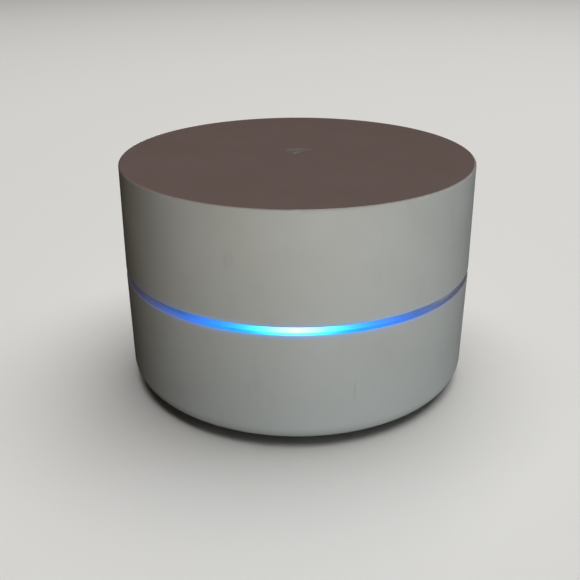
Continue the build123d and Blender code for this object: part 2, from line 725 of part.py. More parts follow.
# ---------------------------------------------------------------- antennas
def antenna_carrier():
    """A plastic hoop inside the upper shell, hung on its bosses by four lugs."""
    hoop = ring(CARRIER_OUTER_RADIUS, CARRIER_INNER_RADIUS, *CARRIER_Z)
    for angle in (0, 90, 180, 270):
        span = about(angle, WINDOW_HALF_SPAN)
        hoop -= sector(CARRIER_OUTER_RADIUS + CUT, CARRIER_INNER_RADIUS - CUT, WINDOW_Z, span)
    lug_z = (CARRIER_Z[1] - LUG_THICKNESS, CARRIER_Z[1])
    spot = (SHELL_BOSS_RADIUS, 0)
    arm_x = (SHELL_BOSS_RADIUS, CARRIER_INNER_RADIUS + CARRIER_THICKNESS / 2)
    lug = disc(LUG_RADIUS, *lug_z, spot) + block(arm_x, around(LUG_RADIUS / 2), lug_z)
    lug -= disc(POST_RADIUS + GAP, lug_z[0] - CUT, lug_z[1] + CUT, spot)
    for feature in spun(lug, SHELL_BOSS_ANGLES):
        hoop += feature
    return hoop


def antenna(angle):
    """A stamped radiator round the hoop, with a bent slot and a feed tab below."""
    inner, outer = CARRIER_OUTER_RADIUS, CARRIER_OUTER_RADIUS + ANTENNA_SHEET
    low, high = ANTENNA_Z
    cut_radii = (outer + CUT, inner - CUT)
    plate = sector(outer, inner, (low, high), around(ANTENNA_HALF_SPAN))
    plate -= sector(*cut_radii, SLOT_Z, (-ANTENNA_HALF_SPAN - CUT, SLOT_END_SPAN[1]))
    plate -= sector(*cut_radii, (SLOT_Z[0], SLOT_END_Z), SLOT_END_SPAN)
    plate -= sector(*cut_radii, (low - CUT, NOTCH_TOP_Z), NOTCH_SPAN)
    plate += sector(outer, inner, (FEED_Z, low + CUT), around(FEED_HALF_SPAN))
    return Rot(0, 0, angle) * plate


def antenna_cable(angle):
    """A thin coaxial lead from an antenna's feed, down and in to its board connector."""
    lead_radius = CARRIER_OUTER_RADIUS - COAX_DIAMETER / 2 - GAP
    end_z = BOARD_TOP_Z + COAX_HEIGHT
    route = FilletPolyline(
        (lead_radius, 0, CARRIER_Z[0]),
        (lead_radius, 0, end_z),
        (CRIMP_END, 0, end_z),
        radius=COAX_BEND_RADIUS,
    )
    lead = sweep(Plane(route @ 0, z_dir=route % 0) * Circle(COAX_DIAMETER / 2), path=route)
    return Rot(0, 0, angle) * lead


def antenna_plugs():
    """The snap-on plug and crimp at the end of each lead."""
    snap_radius, snap_z = 1.5, (0.7, 2.4)
    crimp_half, crimp_z = 0.85, (1.1, 2.5)
    plug = disc(snap_radius, BOARD_TOP_Z + snap_z[0], BOARD_TOP_Z + snap_z[1], (SNAP_RADIUS, 0))
    plug += block(
        (SNAP_RADIUS, CRIMP_END),
        around(crimp_half),
        (BOARD_TOP_Z + crimp_z[0], BOARD_TOP_Z + crimp_z[1]),
    )
    return spun(plug, ANTENNA_ANGLES)


def antenna_sockets():
    """The board socket under each plug."""
    base_half, base_height, post_radius, post_height = 1.3, 0.4, 1.0, 0.7
    base_z = (BOARD_TOP_Z, BOARD_TOP_Z + base_height)
    socket = block(about(SNAP_RADIUS, base_half), around(base_half), base_z)
    socket += disc(post_radius, BOARD_TOP_Z, BOARD_TOP_Z + post_height, (SNAP_RADIUS, 0))
    return spun(socket, ANTENNA_ANGLES)


# ---------------------------------------------------------------- ports
def jack_housing(x):
    """A network jack's insulator: plug cavity, latch slot below it and contact slot above."""
    inside = JACK_WIDTH / 2 - JACK_SHEET
    body_y = (JACK_BACK_Y + JACK_SHEET, PORT_FACE_Y)
    mouth_y = PORT_FACE_Y + CUT
    slot_half_x, slot_half_y = CONTACT_SLOT
    housing = block(about(x, inside), body_y, (JACK_LOW_Z + JACK_SHEET, BOARD_Z))
    plug_z, latch_z = (PLUG_LOW_Z, PLUG_TOP_Z), (PLUG_LOW_Z - LATCH_HEIGHT, PLUG_LOW_Z + CUT)
    housing -= block(about(x, PLUG_WIDTH / 2), (PORT_FACE_Y - PLUG_REACH, mouth_y), plug_z)
    housing -= block(about(x, LATCH_HALF_WIDTH), (PORT_FACE_Y - LATCH_REACH, mouth_y), latch_z)
    slot_z = (PLUG_TOP_Z - CUT, BOARD_Z + CUT)
    return housing - block(about(x, slot_half_x), about(PORT_FACE_Y - CONTACT_BEND, slot_half_y), slot_z)


def jack_contacts(x):
    """Eight spring wires: down from the roof of the cavity, then up to the board."""
    bend_y = PORT_FACE_Y - CONTACT_BEND
    line = FilletPolyline(
        (PORT_FACE_Y - CONTACT_START, PLUG_TOP_Z - CONTACT_THICKNESS),
        (bend_y, PLUG_TOP_Z - CONTACT_DROP),
        (bend_y, BOARD_Z),
        radius=CONTACT_WIDTH,
    )
    wire = extrude(Plane.YZ * trace(line, CONTACT_THICKNESS), CONTACT_WIDTH)
    first = x - (CONTACT_PITCH * (CONTACT_COUNT - 1) + CONTACT_WIDTH) / 2
    return [Pos(first + CONTACT_PITCH * i, 0, 0) * wire for i in range(CONTACT_COUNT)]


def jack_shield(x):
    """Folded sheet round the jack's sides, back and underside."""
    outer = block(about(x, JACK_WIDTH / 2), (JACK_BACK_Y, PORT_FACE_Y), (JACK_LOW_Z, BOARD_Z))
    return outer - block(
        about(x, JACK_WIDTH / 2 - JACK_SHEET),
        (JACK_BACK_Y + JACK_SHEET, PORT_FACE_Y + CUT),
        (JACK_LOW_Z + JACK_SHEET, BOARD_Z + CUT),
    )


def usb_c_shell():
    """The power port's seamless metal tube, closed at the back."""
    ease = 0.01  # keeps the ends' arcs just short of a half circle
    inner_width, inner_height = USB_WIDTH - 2 * USB_SHEET, USB_HEIGHT - 2 * USB_SHEET
    outer = RectangleRounded(USB_WIDTH, USB_HEIGHT, USB_HEIGHT / 2 - ease)
    inner = RectangleRounded(inner_width, inner_height, inner_height / 2 - ease)
    level = Pos(0, PORT_CENTRE_Z)
    tube = along_y(level * outer, USB_BACK_Y, PORT_FACE_Y)
    return tube - along_y(level * inner, USB_BACK_Y + USB_SHEET, PORT_FACE_Y + CUT)


def usb_c_tongue():
    """The insulator in the middle of the power port, on a thicker root."""
    root_half, root_length, root_half_thickness = TONGUE_ROOT
    back_y = USB_BACK_Y + USB_SHEET
    tongue_z = about(PORT_CENTRE_Z, TONGUE_HALF_THICKNESS)
    tongue = block(around(TONGUE_HALF_WIDTH), (back_y, PORT_FACE_Y - TONGUE_SETBACK), tongue_z)
    root_z = about(PORT_CENTRE_Z, root_half_thickness)
    return tongue + block(around(root_half), (back_y, back_y + root_length), root_z)


def usb_c_contacts():
    """A row of pads on each face of the tongue."""
    y = [PORT_FACE_Y - setback for setback in PAD_SETBACKS]
    pads = []
    for side in (-1, 1):
        face_z = PORT_CENTRE_Z + side * TONGUE_HALF_THICKNESS
        z = sorted((face_z, face_z + side * PAD_THICKNESS))
        for i in range(PAD_COUNT):
            pads.append(block(about(PAD_PITCH * (i - (PAD_COUNT - 1) / 2), PAD_HALF_WIDTH), y, z))
    return pads


def usb_c_riser():
    """The insulating block that sets the power port below the board."""
    y = (USB_BACK_Y, PORT_FACE_Y - BAY_WALL - GAP)
    return block(around(RISER_HALF_WIDTH), y, (PORT_CENTRE_Z + USB_HEIGHT / 2, BOARD_Z))


# ---------------------------------------------------------------- reset button
def reset_button():
    """The round cap, its retaining flange inside the wall and its stem."""
    face_y = sqrt(BODY_RADIUS**2 - BUTTON_RADIUS**2) - BUTTON_SETBACK
    flange_y = BODY_RADIUS - WALL - FLANGE_CLEARANCE
    flange_back_y = flange_y - FLANGE_DEPTH
    centre = Pos(0, BUTTON_Z)
    cap = along_y(centre * Circle(BUTTON_RADIUS), flange_back_y, face_y)
    cap = fillet(cap.edges().sort_by(Axis.Y)[-1], BUTTON_EDGE_RADIUS)
    cap += along_y(centre * Circle(FLANGE_RADIUS), flange_back_y, flange_y)
    return cap + along_y(centre * Circle(STEM_RADIUS), PLUNGER_Y[1], flange_y)


def reset_switch_body():
    """The switch's case on the board, with the pocket that the plunger works in."""
    half_x, half_z = POCKET_HALF
    body = block(around(SWITCH_HALF_WIDTH), SWITCH_Y, (BOARD_TOP_Z, SWITCH_TOP_Z))
    return body - block(around(half_x), (POCKET_BACK_Y, SWITCH_Y[1] + CUT), about(BUTTON_Z, half_z))


def reset_switch_plunger():
    """The small slider that the button's stem pushes."""
    half_x, half_z = PLUNGER_HALF
    edge_radius = 0.2
    plunger = block(around(half_x), PLUNGER_Y, about(BUTTON_Z, half_z))
    return fillet(plunger.edges().group_by(Axis.Y)[-1], edge_radius)


def reset_switch_dome():
    """The snap dome between the plunger and the pocket's back."""
    rise = PLUNGER_Y[0] - POCKET_BACK_Y
    sphere_radius = (DOME_HALF**2 + rise**2) / (2 * rise)
    skin = Sphere(sphere_radius) - Sphere(sphere_radius - DOME_THICKNESS)
    dome = Pos(0, PLUNGER_Y[0] - sphere_radius, BUTTON_Z) * skin
    return dome & block(around(DOME_HALF), (POCKET_BACK_Y, PLUNGER_Y[0]), about(BUTTON_Z, DOME_HALF))


def reset_switch_cover():
    """A thin steel cap over the switch's top and sides."""
    cover = block(
        around(SWITCH_HALF_WIDTH + COVER_SHEET),
        SWITCH_Y,
        (SWITCH_TOP_Z - COVER_DROP, SWITCH_TOP_Z + COVER_SHEET),
    )
    inside_y = (SWITCH_Y[0] - CUT, SWITCH_Y[1] + CUT)
    return cover - block(around(SWITCH_HALF_WIDTH), inside_y, (BOARD_TOP_Z, SWITCH_TOP_Z))


# ---------------------------------------------------------------- nodes
HOUSING = (upper_shell, lower_shell, base_cover, port_bay, foot_ring, light_guide_ring)
LIGHT = (light_board, light_emitters, light_board_screws, light_flex_cable, light_flex_socket)
BOARD = (
    main_board, processor_chip, memory_chip, storage_chip, radio_chips, cpu_shield_frame,
    radio_shield_left, radio_shield_right, processor_thermal_pad, radio_thermal_pads,
    ethernet_transformers, power_inductors, bulk_capacitors, board_passives,
)
CHASSIS = (heat_sink, base_screws, board_screws, shell_screws)
ANTENNAS = (antenna_carrier, antenna_plugs, antenna_sockets)
POWER_PORT = (usb_c_shell, usb_c_tongue, usb_c_contacts, usb_c_riser)
RESET = (
    reset_button, reset_switch_body, reset_switch_plunger, reset_switch_dome, reset_switch_cover,
)


def nodes():
    """Every sub-part by its node name: one shape, or a list for a group of like pieces."""
    made = {}
    for builder in HOUSING + LIGHT + BOARD + CHASSIS + ANTENNAS + POWER_PORT + RESET:
        made[builder.__name__] = builder()
    for port, x in (("wan", -JACK_X), ("lan", JACK_X)):
        for builder in (jack_housing, jack_contacts, jack_shield):
            made[f"{port}_{builder.__name__}"] = builder(x)
    for number, angle in enumerate(ANTENNA_ANGLES, start=1):
        made[f"antenna_{number}"] = antenna(angle)
        made[f"antenna_cable_{number}"] = antenna_cable(angle)
    return made


def main():
    os.makedirs("parts", exist_ok=True)
    for name, shape in nodes().items():
        pieces = shape if isinstance(shape, list) else [shape]
        solids = [solid for piece in pieces for solid in piece.solids()]
        export_step(solids[0] if len(solids) == 1 else Compound(solids), f"parts/{name}.step")


main()
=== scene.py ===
"""Looks for the mesh wifi node: materials, the light band, a studio and a camera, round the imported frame.

Metres, in the part's own frame: +Z is up and the front faces -Y. Places and sizes come from the
frame's nodes.
"""

import json
import math

import bpy
import numpy as np
from mathutils import Matrix, Vector

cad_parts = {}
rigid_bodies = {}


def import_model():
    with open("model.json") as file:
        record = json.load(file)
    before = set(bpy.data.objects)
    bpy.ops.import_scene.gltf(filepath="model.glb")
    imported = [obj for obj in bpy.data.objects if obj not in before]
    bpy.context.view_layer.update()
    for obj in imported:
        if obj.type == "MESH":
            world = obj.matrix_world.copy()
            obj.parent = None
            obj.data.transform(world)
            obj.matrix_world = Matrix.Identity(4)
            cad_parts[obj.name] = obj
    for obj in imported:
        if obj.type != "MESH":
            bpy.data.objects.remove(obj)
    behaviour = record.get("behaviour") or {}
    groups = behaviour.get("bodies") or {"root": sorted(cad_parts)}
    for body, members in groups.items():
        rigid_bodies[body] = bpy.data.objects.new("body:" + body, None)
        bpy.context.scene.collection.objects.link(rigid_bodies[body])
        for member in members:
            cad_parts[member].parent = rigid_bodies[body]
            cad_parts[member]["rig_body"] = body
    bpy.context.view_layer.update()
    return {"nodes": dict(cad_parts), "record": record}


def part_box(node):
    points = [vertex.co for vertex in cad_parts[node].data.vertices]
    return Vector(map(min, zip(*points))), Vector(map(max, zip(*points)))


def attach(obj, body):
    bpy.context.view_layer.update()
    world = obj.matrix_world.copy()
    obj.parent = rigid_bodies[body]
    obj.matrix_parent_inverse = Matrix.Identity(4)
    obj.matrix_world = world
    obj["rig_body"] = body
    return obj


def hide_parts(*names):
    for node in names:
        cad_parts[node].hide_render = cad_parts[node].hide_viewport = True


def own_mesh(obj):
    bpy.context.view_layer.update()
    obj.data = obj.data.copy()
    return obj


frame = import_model()

MM = 0.001
BLACK = (0.0, 0.0, 0.0, 1.0)

# ---------------------------------------------------------------- places read from the frame
guide_low, guide_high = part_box("light_guide_ring")
shell_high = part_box("upper_shell")[1]
BODY_RADIUS = shell_high.x
TOP_Z = shell_high.z

# The upper shell's bosses hang below the band, so its edge is found from the band's middle.
BAND_Z = (guide_low.z + guide_high.z) / 2
BAND_HALF = BAND_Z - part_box("lower_shell")[1].z

SLOTS = {entry["node"]: entry["material_slot"] for entry in frame["record"]["subparts"]}


def rgb(r, g, b):
    """A colour given as it looks on a screen, 0 to 255, in the shader's linear numbers."""
    linear = []
    for value in (r / 255, g / 255, b / 255):
        linear.append(value / 12.92 if value <= 0.04045 else ((value + 0.055) / 1.055) ** 2.4)
    return (*linear, 1.0)


# ---------------------------------------------------------------- node graph helper
class Graph:
    """One material's node tree, with short ways to add and join nodes."""

    def __init__(self, name):
        self.material = bpy.data.materials.new(name)
        self.material.use_nodes = True
        self.tree = self.material.node_tree
        self.shader = self.tree.nodes["Principled BSDF"]
        self.place = self.add("ShaderNodeTexCoord").outputs["Object"]

    def feed(self, socket, value):
        """Links a socket to the input, or sets the input's own value."""
        if isinstance(value, bpy.types.NodeSocket):
            self.tree.links.new(value, socket)
        else:
            socket.default_value = value

    def add(self, kind, **inputs):
        """A node of that kind with its named inputs fed."""
        node = self.tree.nodes.new(kind)
        for name, value in inputs.items():
            self.feed(node.inputs[name.replace("_", " ")], value)
        return node

    def set(self, **inputs):
        """Feeds the shader's own inputs."""
        for name, value in inputs.items():
            self.feed(self.shader.inputs[name.replace("_", " ")], value)

    def math(self, operation, *values):
        node = self.tree.nodes.new("ShaderNodeMath")
        node.operation = operation
        for socket, value in zip(node.inputs, values):
            self.feed(socket, value)
        return node.outputs[0]

    def mix(self, factor, a, b, blend="MIX"):
        """Colour a, with colour b blended in by the factor."""
        node = self.tree.nodes.new("ShaderNodeMix")
        node.data_type = "RGBA"
        node.blend_type = blend
        for index, value in ((0, factor), (6, a), (7, b)):
            self.feed(node.inputs[index], value)
        return node.outputs[2]

    def range(self, value, low, high, to_low=0.0, to_high=1.0):
        """The value carried from one range to another, and held at its ends."""
        node = self.tree.nodes.new("ShaderNodeMapRange")
        for socket, entry in zip(node.inputs, (value, low, high, to_low, to_high)):
            self.feed(socket, entry)
        return node.outputs[0]

    def stretched(self, stretch):
        """The place, with its axes scaled: a number below 1 draws a pattern out along that axis."""
        if stretch == (1, 1, 1):
            return self.place
        return self.add("ShaderNodeMapping", Vector=self.place, Scale=stretch).outputs[0]

    def noise(self, size, detail=2.0, roughness=0.5, stretch=(1, 1, 1)):
        """Cloudy noise with features of about that size."""
        place = self.stretched(stretch)
        inputs = {"Scale": 1 / size, "Detail": detail, "Roughness": roughness}
        return self.add("ShaderNodeTexNoise", Vector=place, **inputs).outputs["Fac"]

    def cells(self, size):
        """Scattered points of about that spacing: the distance to the nearest, and its own colour."""
        node = self.add("ShaderNodeTexVoronoi", Vector=self.place, Scale=1 / size)
        return node.outputs["Distance"], node.outputs["Color"]

    def stripes(self, size, axis):
        """Soft stripes of that pitch across an axis."""
        node = self.add("ShaderNodeTexWave", Vector=self.place, Scale=math.pi / (10 * size))
        node.bands_direction = axis
        return node.outputs["Fac"]

    def bump(self, height, depth, normal=None):
        """A normal from a height of 0 to 1 that stands for that depth."""
        node = self.add("ShaderNodeBump", Height=height, Distance=depth, Strength=1.0)
        if normal is not None:
            self.feed(node.inputs["Normal"], normal)
        return node.outputs[0]

    def length(self, vector):
        node = self.tree.nodes.new("ShaderNodeVectorMath")
        node.operation = "LENGTH"
        self.feed(node.inputs[0], vector)
        return node.outputs["Value"]

    def axes(self):
        return self.add("ShaderNodeSeparateXYZ", Vector=self.place).outputs

    def ramp(self, value, stops):
        """A colour along the value, from (position, colour) stops."""
        node = self.add("ShaderNodeValToRGB", Fac=value)
        elements = node.color_ramp.elements
        while len(elements) < len(stops):
            elements.new(1.0)
        for element, (position, colour) in zip(elements, stops):
            element.position = position
            element.color = (*colour, 1.0)
        return node.outputs[0]


# ---------------------------------------------------------------- the band's light, and the glow and shade painted beside it
LAMP_STRENGTH = 2.8
DARK_AT = 75.0  # degrees round from the front where no light is left

# Degrees round from the front, and the guide's colour there, as shares of the lamp strength.
GLOW = (
    (0, (0.290, 0.930, 1.000)),
    (5, (0.190, 0.860, 1.000)),
    (9, (0.070, 0.620, 0.950)),
    (13, (0.014, 0.320, 0.800)),
    (18, (0.004, 0.185, 0.600)),
    (24, (0.000, 0.098, 0.420)),
    (31, (0.000, 0.052, 0.245)),
    (38, (0.000, 0.027, 0.105)),
    (46, (0.000, 0.011, 0.042)),
    (52, (0.000, 0.005, 0.012)),
    (60, (0.000, 0.000, 0.004)),
    (75, (0.000, 0.000, 0.000)),
)

# The guide's colour there, darkened round the front as painted shade for the recessed band: blue-grey where
# it is full of light, milky where it is dark.
GUIDE_PAINTED_SHADE = (
    (0, rgb(100, 112, 120)[:3]),
    (21, rgb(82, 92, 102)[:3]),
    (31, rgb(108, 112, 118)[:3]),
    (40, rgb(116, 119, 124)[:3]),
    (48, rgb(152, 152, 154)[:3]),
    (56, rgb(190, 190, 190)[:3]),
)

# Painted light: a glow painted into the walls beside the band, standing in for the band's light bleeding
# into them.
PAINTED_HALO = (
    (0, (0.00, 0.13, 0.40)),
    (24, (0.00, 0.11, 0.36)),
    (35, (0.00, 0.04, 0.26)),
    (47, (0.00, 0.01, 0.11)),
    (60, (0.00, 0.00, 0.03)),
    (75, (0.00, 0.00, 0.00)),
)
PAINTED_HALO_REACH = 1.8 * MM
# Depths in from the wall at which a ledge has its full painted glow and painted shade, and at which it has
# none.
LEDGE_INNER, LEDGE_OUTER = 0.35 * MM, 0.1 * MM
PAINTED_LEDGE_GLOW_TINT = (0.50, 1.00, 1.30, 1.0)
# Painted shade: beside the band on its lit side the walls and ledges are darkened towards blue.
PAINTED_BLUE_SHADE = rgb(46, 104, 150)
PAINTED_SHADE_ON_WALL, PAINTED_SHADE_ON_LEDGE = 0.3, 0.8
PAINTED_SHADE_FULL, PAINTED_SHADE_GONE = 0.25, 0.6  # shares of the way round to where it is dark


def share_round(graph):
    """How far round from the front a point is: 0 at the front, and 1 where no light is left."""
    x, y, _ = graph.axes()
    angle = graph.math("ABSOLUTE", graph.math("ARCTAN2", x, graph.math("MULTIPLY", y, -1.0)))
    return graph.math("DIVIDE", angle, math.radians(DARK_AT))


def round_from_front(graph, stops):
    """A colour that changes round the housing, from stops in degrees, the same on both sides."""
    return graph.ramp(share_round(graph), [(degrees / DARK_AT, colour) for degrees, colour in stops])


def light_guide():
    """Milky clear plastic, lit from inside by the lamps at the front, with painted shade darkening its
    colour round the front.
    """
    g = Graph("light_guide")
    cloud = g.noise(3 * MM, detail=3)
    g.set(
        Base_Color=g.mix(g.math("MULTIPLY", cloud, 0.1), round_from_front(g, GUIDE_PAINTED_SHADE), rgb(255, 255, 255)),
        Roughness=g.range(g.noise(0.6 * MM), 0.3, 0.7, 0.24, 0.36),
        Normal=g.bump(g.noise(0.5 * MM), 0.01 * MM),
        Emission_Color=round_from_front(g, GLOW),
        Emission_Strength=LAMP_STRENGTH,
    )
    return g


def paint_band_glow_and_shade(g, colour):
    """Painted light: a blue glow painted into the walls beside the band, and more of it on the band's
    ledges.

    Painted shade as well: hardly any red comes back from a wall that is full of blue, so its own colour is
    darkened towards blue there, on the lit side.
    """
    x, y, z = g.axes()
    beyond = g.math("SUBTRACT", g.math("ABSOLUTE", g.math("SUBTRACT", z, BAND_Z)), BAND_HALF)
    near = g.math("POWER", g.range(beyond, 0.0, PAINTED_HALO_REACH, 1.0, 0.0), 2.0)
    radius = g.math("SQRT", g.math("ADD", g.math("MULTIPLY", x, x), g.math("MULTIPLY", y, y)))
    ledge = g.range(radius, BODY_RADIUS - LEDGE_INNER, BODY_RADIUS - LEDGE_OUTER, 1.0, 0.0)
    # Painted glow: the walls and ledges beside the band give off light, though no lamp is there.
    painted_wall_glow = g.mix(near, BLACK, round_from_front(g, PAINTED_HALO))
    painted_ledge_glow = g.mix(1.0, round_from_front(g, GLOW), PAINTED_LEDGE_GLOW_TINT, blend="MULTIPLY")
    # Painted shade: on the lit side near the band the base colour is darkened towards blue, more on the
    # ledges.
    lit_side = g.range(share_round(g), PAINTED_SHADE_FULL, PAINTED_SHADE_GONE, 1.0, 0.0)
    share = g.range(ledge, 0.0, 1.0, PAINTED_SHADE_ON_WALL, PAINTED_SHADE_ON_LEDGE)
    painted_shade = g.math("MULTIPLY", g.math("MULTIPLY", near, lit_side), share)
    g.set(
        Base_Color=g.mix(painted_shade, colour, PAINTED_BLUE_SHADE),
        Emission_Color=g.mix(g.math("MULTIPLY", ledge, near), painted_wall_glow, painted_ledge_glow, blend="ADD"),
        Emission_Strength=1.0,
    )


# ---------------------------------------------------------------- plastics and rubber
def moulded(name, light, dark, rough=(0.38, 0.5), grain=0.22 * MM, depth=0.012 * MM, wear=0.0):
    """Moulded plastic: spark-eroded grain, faint tone changes, and handling marks and dust by wear."""
    g = Graph(name)
    colour = g.mix(g.range(g.noise(22 * MM, detail=3), 0.3, 0.7), dark, light)
    roughness = g.range(g.noise(1.1 * MM, detail=4), 0.25, 0.75, *rough)
    if wear:
        rub = g.range(g.noise(6 * MM, detail=5, roughness=0.62, stretch=(1, 1, 0.4)), 0.56, 0.78)
        roughness = g.math("SUBTRACT", roughness, g.math("MULTIPLY", rub, 0.1))
        grubby = tuple(0.72 * value for value in dark[:3]) + (1.0,)
        colour = g.mix(g.math("MULTIPLY", rub, 0.35 * wear), colour, grubby)
        distance, own = g.cells(4.5 * MM)
        speck = g.math("LESS_THAN", distance, 0.03)
        kept = g.math("GREATER_THAN", g.noise(9 * MM), 0.56)
        dusty = g.math("MULTIPLY", g.math("MULTIPLY", speck, kept), wear)
        colour = g.mix(dusty, colour, own, blend="MULTIPLY")
    swell = g.bump(g.noise(14 * MM, detail=1), 0.05 * MM)
    g.set(
        Base_Color=colour,
        Roughness=roughness,
        Normal=g.bump(g.noise(grain, roughness=0.55), depth, swell),
    )
    return g, colour


# The housing's small marks: middle, half width and half height in millimetres, colour and strength.
MARKS = (
    ((-17.5, -49.9, 54.7), 1.9, 4.2, rgb(150, 148, 140), 0.16),  # a smear from a thumb
    ((15.6, -50.5, 17.4), 0.4, 4.2, rgb(120, 120, 116), 0.25),  # a short scuff
    ((10.9, -36.2, 68.75), 0.4, 0.4, rgb(255, 255, 255), 0.9),  # a fleck of dust
)


def marked(g, colour):
    """The colour with the small marks on it, each one a soft spot cut up by fine streaks."""
    streaks = g.range(g.noise(1.2 * MM, detail=4, stretch=(1, 1, 0.25)), 0.35, 0.6)
    for middle, half_width, half_height, tint, strength in MARKS:
        scale = [1 / (size * MM) for size in (half_width, half_width, half_height)]
        shift = [-place * MM * factor for place, factor in zip(middle, scale)]
        local = g.add("ShaderNodeMapping", Vector=g.place, Location=shift, Scale=scale).outputs[0]
        spot = g.range(g.length(local), 0.3, 1.0, strength, 0.0)
        colour = g.mix(g.math("MULTIPLY", spot, streaks), colour, tint)
    return colour


def housing_plastic():
    pale, dull = rgb(231, 231, 227), rgb(225, 225, 220)
    g, colour = moulded("housing_plastic", pale, dull, (0.52, 0.64), wear=0.5)
    paint_band_glow_and_shade(g, marked(g, colour))
    return g


def base_plastic():
    pale, dull = rgb(221, 221, 218), rgb(214, 214, 211)
    return moulded("base_plastic", pale, dull, (0.5, 0.62), 0.3 * MM, 0.02 * MM, wear=0.3)[0]


def button_plastic():
    pale, dull = rgb(228, 228, 225), rgb(223, 223, 219)
    return moulded("button_plastic", pale, dull, (0.28, 0.38), depth=0.006 * MM, wear=0.3)[0]


def connector_plastic():
    """Black glass-filled plastic, with pale fibre flecks."""
    g, _ = moulded("connector_plastic", rgb(57, 57, 60), rgb(49, 49, 52), (0.4, 0.55), 0.15 * MM, 0.01 * MM)
    flecks = g.range(g.noise(0.12 * MM, detail=1, stretch=(1, 0.2, 1)), 0.66, 0.74, 0.0, 0.25)
    g.set(Base_Color=g.mix(flecks, rgb(52, 52, 55), rgb(120, 120, 118)))
    return g


def socket_plastic():
    pale, dull = rgb(228, 225, 217), rgb(219, 215, 205)
    return moulded("socket_plastic", pale, dull, (0.35, 0.48), 0.15 * MM, 0.008 * MM)[0]


def carrier_plastic():
    return moulded("carrier_plastic", rgb(99, 99, 103), rgb(90, 90, 94), (0.45, 0.6), 0.3 * MM, 0.02 * MM)[0]


def chip_plastic():
    """Black moulding compound: blasted skin with filler grains that catch the light."""
    g, _ = moulded("chip_plastic", rgb(51, 51, 54), rgb(44, 44, 48), (0.5, 0.66), 0.08 * MM, 0.01 * MM)
    grains = g.range(g.noise(0.1 * MM, detail=1), 0.64, 0.7, 0.0, 0.3)
    g.set(Base_Color=g.mix(grains, rgb(48, 48, 52), rgb(96, 96, 98)))
    return g


def foot_rubber():
    """Soft grey rubber with a fine dimpled skin and a little dust."""
    pale, dull = rgb(190, 192, 194), rgb(182, 184, 186)
    g, _ = moulded("foot_rubber", pale, dull, (0.7, 0.85), 0.35 * MM, 0.03 * MM, wear=0.8)
    g.set(Specular_IOR_Level=0.35)
    return g


def thermal_pad():
    """Putty-soft silicone, cloudy with filler."""
    g = Graph("thermal_pad")
    filler = g.range(g.noise(0.3 * MM, detail=4, roughness=0.7), 0.35, 0.65)
    g.set(
        Base_Color=g.mix(filler, rgb(150, 175, 190), rgb(175, 196, 208)),
        Roughness=g.range(g.noise(0.8 * MM), 0.3, 0.7, 0.72, 0.88),
        Normal=g.bump(g.noise(0.6 * MM, detail=3), 0.06 * MM),
    )
    return g


def cable_jacket():
    """Thin fluoropolymer jacket with faint draw lines."""
    g = Graph("cable_jacket")
    lines = g.noise(0.3 * MM, stretch=(1, 1, 0.15))
    g.set(
        Base_Color=g.mix(lines, rgb(64, 64, 67), rgb(74, 74, 78)),
        Roughness=g.range(lines, 0.3, 0.7, 0.2, 0.34),
        Normal=g.bump(lines, 0.01 * MM),
    )
    return g


def lamp_plastic():
    """Clear lens over pale phosphor, clouded at its middle."""
    g = Graph("lamp_plastic")
    cloud = g.noise(0.5 * MM, detail=3)
    g.set(
        Base_Color=g.mix(cloud, rgb(243, 240, 212), rgb(250, 246, 224)),
        Roughness=g.range(cloud, 0.3, 0.7, 0.08, 0.16),
        Normal=g.bump(g.noise(0.8 * MM), 0.01 * MM),
        Coat_Weight=0.5,
    )
    return g


# ---------------------------------------------------------------- boards and small parts
def board_laminate():
    """Green solder mask over copper runs, with plated holes."""
    g = Graph("board_laminate")
    runs = g.math("MAXIMUM", g.stripes(0.9 * MM, "X"), g.stripes(1.3 * MM, "Y"))
    routed = g.math("GREATER_THAN", g.noise(5 * MM, detail=1), 0.48)
    copper = g.math("MULTIPLY", g.range(runs, 0.8, 0.9), routed)
    mask = g.mix(copper, rgb(48, 115, 84), rgb(70, 140, 98))
    weave = g.noise(0.25 * MM, stretch=(1, 0.3, 1))
    mask = g.mix(g.math("MULTIPLY", weave, 0.3), mask, rgb(36, 92, 66))
    distance, _ = g.cells(2.6 * MM)
    hole = g.math("LESS_THAN", distance, 0.1)
    g.set(
        Base_Color=g.mix(hole, mask, rgb(212, 178, 104)),
        Metallic=hole,
        Roughness=g.range(g.noise(0.6 * MM), 0.3, 0.7, 0.26, 0.4),
        Normal=g.bump(copper, 0.03 * MM),
    )
    return g


def flex_laminate():
    """Amber film over copper runs along its length."""
    g = Graph("flex_laminate")
    runs = g.range(g.stripes(0.6 * MM, "X"), 0.45, 0.55)
    g.set(
        Base_Color=g.mix(runs, rgb(146, 96, 38), rgb(196, 144, 74)),
        Roughness=g.range(g.noise(0.7 * MM), 0.3, 0.7, 0.2, 0.32),
        Normal=g.bump(runs, 0.02 * MM),
    )
    return g


def component_ceramic():
    """Small chips: each one takes its own tone, from tan to dark brown."""
    g = Graph("component_ceramic")
    _, own = g.cells(3 * MM)
    tone = g.add("ShaderNodeSeparateColor", Color=own).outputs[0]
    body = g.mix(tone, rgb(180, 160, 136), rgb(118, 98, 80))
    g.set(
        Base_Color=g.mix(g.math("MULTIPLY", g.noise(0.15 * MM), 0.3), body, rgb(90, 78, 66)),
        Roughness=g.range(g.noise(0.2 * MM), 0.3, 0.7, 0.45, 0.65),
        Normal=g.bump(g.noise(0.1 * MM), 0.008 * MM),
    )
    return g


